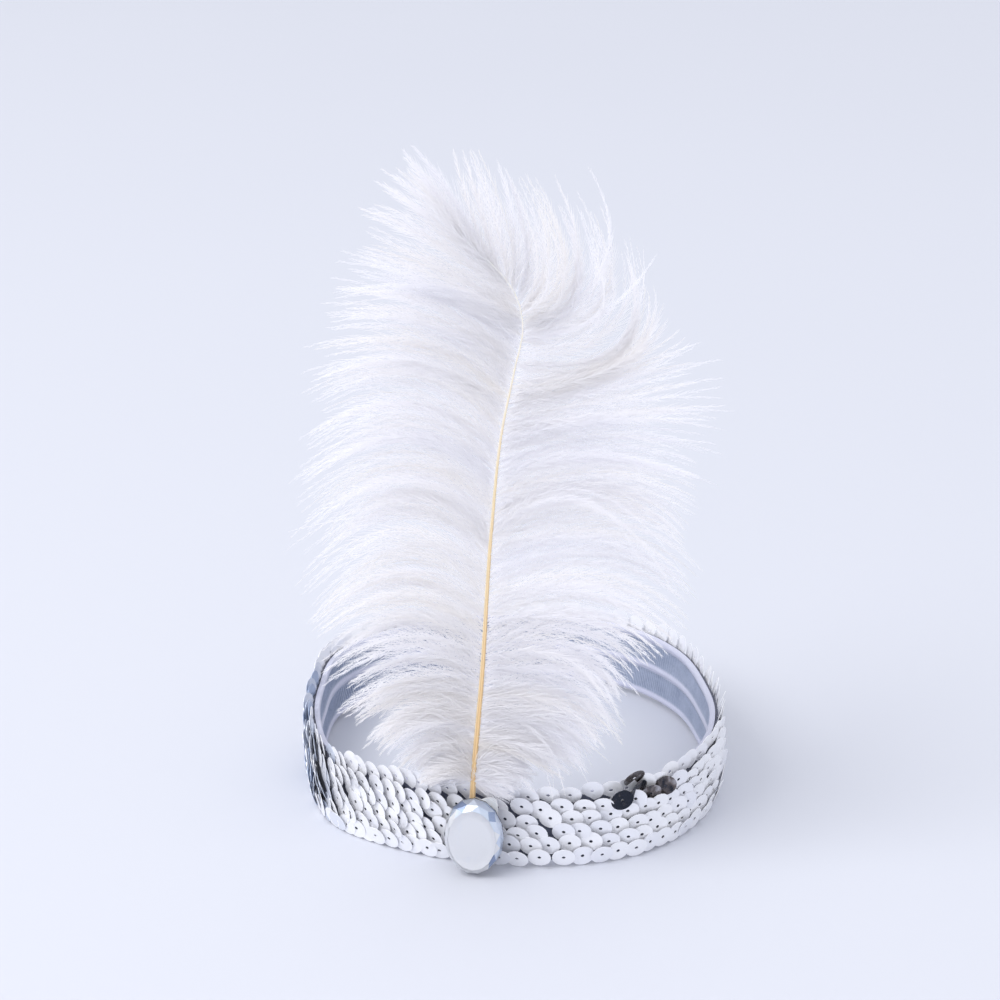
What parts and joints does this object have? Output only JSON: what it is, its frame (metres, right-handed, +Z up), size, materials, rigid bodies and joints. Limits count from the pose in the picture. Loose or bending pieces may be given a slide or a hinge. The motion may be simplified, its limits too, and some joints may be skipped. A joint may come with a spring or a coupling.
{
  "type": "flapper feather headband",
  "caption": "Stretch headband covered in overlapping flat sequins, with an oval cut jewel at the front and one curling white plume behind it.",
  "frame": {"origin": "on the surface that the band stands on, under the middle of the whole headband's box", "axes": "+Z up along the plume, -Y out of the jewel's face at the front, +X to the viewer's right"},
  "size_m": [0.132, 0.1526, 0.2157],
  "materials": {
    "lining_knit": "ribbed stretch knit",
    "sequin_film": "satin metallised film",
    "glue": "cloudy hot glue",
    "cut_stone": "polished, mirror backed",
    "feather": "soft matt barbs"
  },
  "bodies": {
    "root": {"band_lining": "lining_knit", "sequin_band": "sequin_film", "glue_pad": "glue", "jewel": "cut_stone", "plume": "feather"}
  },
  "joints": []
}
